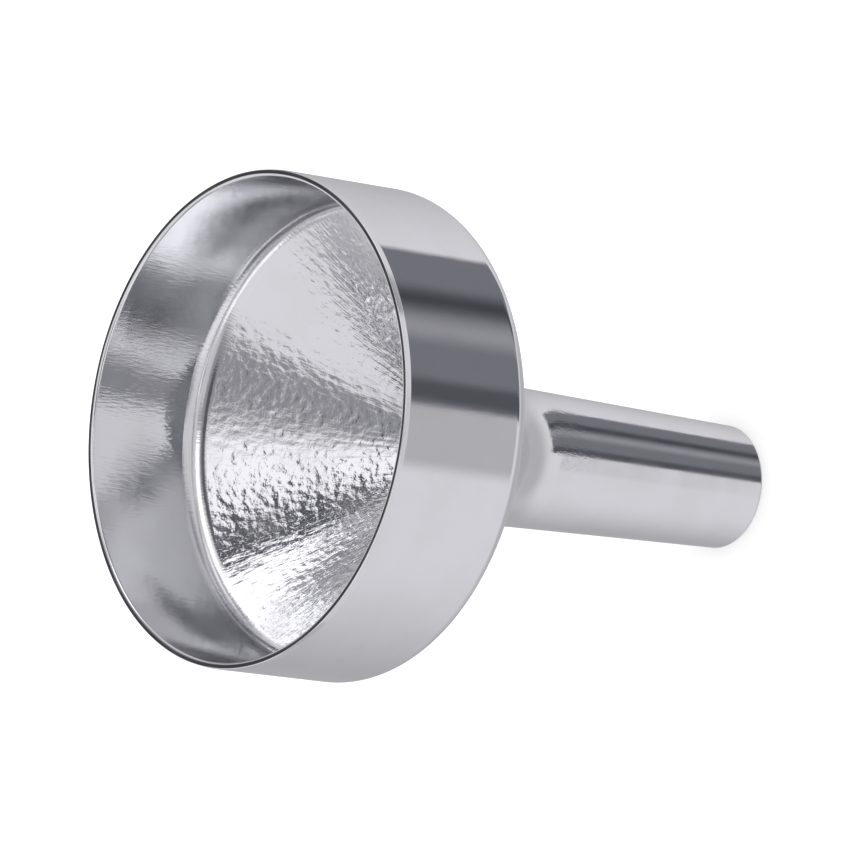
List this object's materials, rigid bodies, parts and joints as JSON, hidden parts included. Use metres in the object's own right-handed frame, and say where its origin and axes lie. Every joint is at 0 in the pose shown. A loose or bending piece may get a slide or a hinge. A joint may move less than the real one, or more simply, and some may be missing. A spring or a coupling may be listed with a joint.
{
  "type": "funnel",
  "caption": "Small polished metal filling funnel: cylindrical collar round the mouth, hammered cone inside, flared brazed neck and a slim tapered spout.",
  "frame": {"origin": "centre of the spout's tip, on the funnel's axis", "axes": "+Z along the funnel's axis from the spout's tip to the mouth, so the mouth faces up; +X and +Y are free, because the funnel is round"},
  "size_m": [0.035, 0.035, 0.045],
  "materials": {
    "polished_shell": "mirror polished, faint turning lines",
    "hammered_cone": "bright plated over a fine hammered, orange-peel surface",
    "polished_tube": "mirror polished with fine lengthwise drawing lines",
    "brazed_seam": "smooth bright fillet, slightly softer than the polished metal"
  },
  "bodies": {
    "root": {"collar": "polished_shell", "cone": "hammered_cone", "spout": "polished_tube", "mouth_seam": "brazed_seam", "neck_seam": "brazed_seam"}
  },
  "joints": []
}
